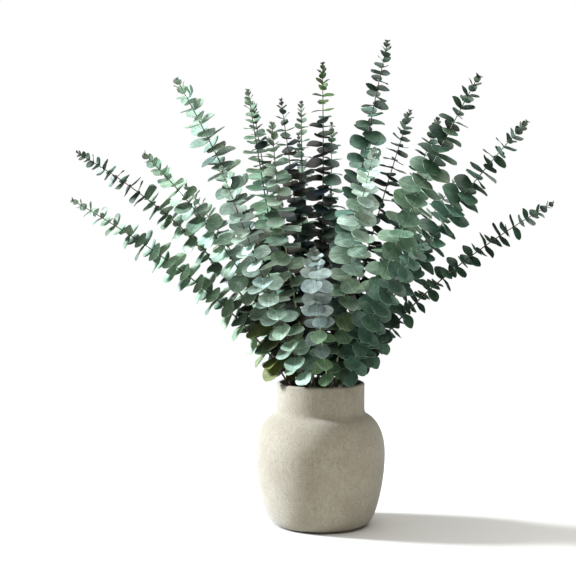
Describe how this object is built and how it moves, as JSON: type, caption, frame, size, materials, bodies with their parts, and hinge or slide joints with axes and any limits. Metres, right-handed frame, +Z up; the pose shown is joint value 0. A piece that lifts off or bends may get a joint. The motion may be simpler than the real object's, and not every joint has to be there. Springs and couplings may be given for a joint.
{
  "type": "vase of eucalyptus branches",
  "caption": "Round-leaved eucalyptus branches fanned out of a rounded, short-necked stoneware vase; each is a curved stem set with pairs of round leaves.",
  "frame": {"origin": "centre of the vase's flat base", "axes": "+Z up, -Y towards the front, +X to the right seen from the front"},
  "size_m": [0.6051, 0.4311, 0.6084],
  "materials": {
    "stoneware": "matt unglazed stoneware, pale warm grey with fine speckle",
    "eucalyptus_leaf": "matt waxy blue-green leaf with a paler underside",
    "eucalyptus_stem": "smooth young bark, grey-green to brown"
  },
  "bodies": {
    "root": {"vase": "stoneware", "branch_front_rosette": "eucalyptus_leaf", "branch_front_right_pale": "eucalyptus_leaf", "branch_left_front": "eucalyptus_leaf", "branch_right_tall": "eucalyptus_leaf", "branch_front_left_pale": "eucalyptus_leaf", "branch_left_tall": "eucalyptus_leaf", "branch_left_broad": "eucalyptus_leaf", "branch_tallest": "eucalyptus_leaf", "branch_front_right_low": "eucalyptus_leaf", "branch_right_low": "eucalyptus_leaf", "branch_far_right": "eucalyptus_leaf", "branch_far_left_lower": "eucalyptus_leaf", "branch_far_left_upper": "eucalyptus_leaf", "branch_middle_fresh": "eucalyptus_leaf", "branch_right_back": "eucalyptus_leaf", "branch_right_slim": "eucalyptus_leaf", "branch_back_left_tall": "eucalyptus_leaf", "branch_back_left_inner": "eucalyptus_leaf", "branch_back_left_low": "eucalyptus_leaf", "branch_back_middle": "eucalyptus_leaf", "branch_middle_slim": "eucalyptus_leaf", "branch_back_silver": "eucalyptus_leaf", "branch_back_right_wide": "eucalyptus_leaf", "branch_back_left_wide": "eucalyptus_leaf", "branch_back_wide": "eucalyptus_leaf"}
  },
  "joints": []
}
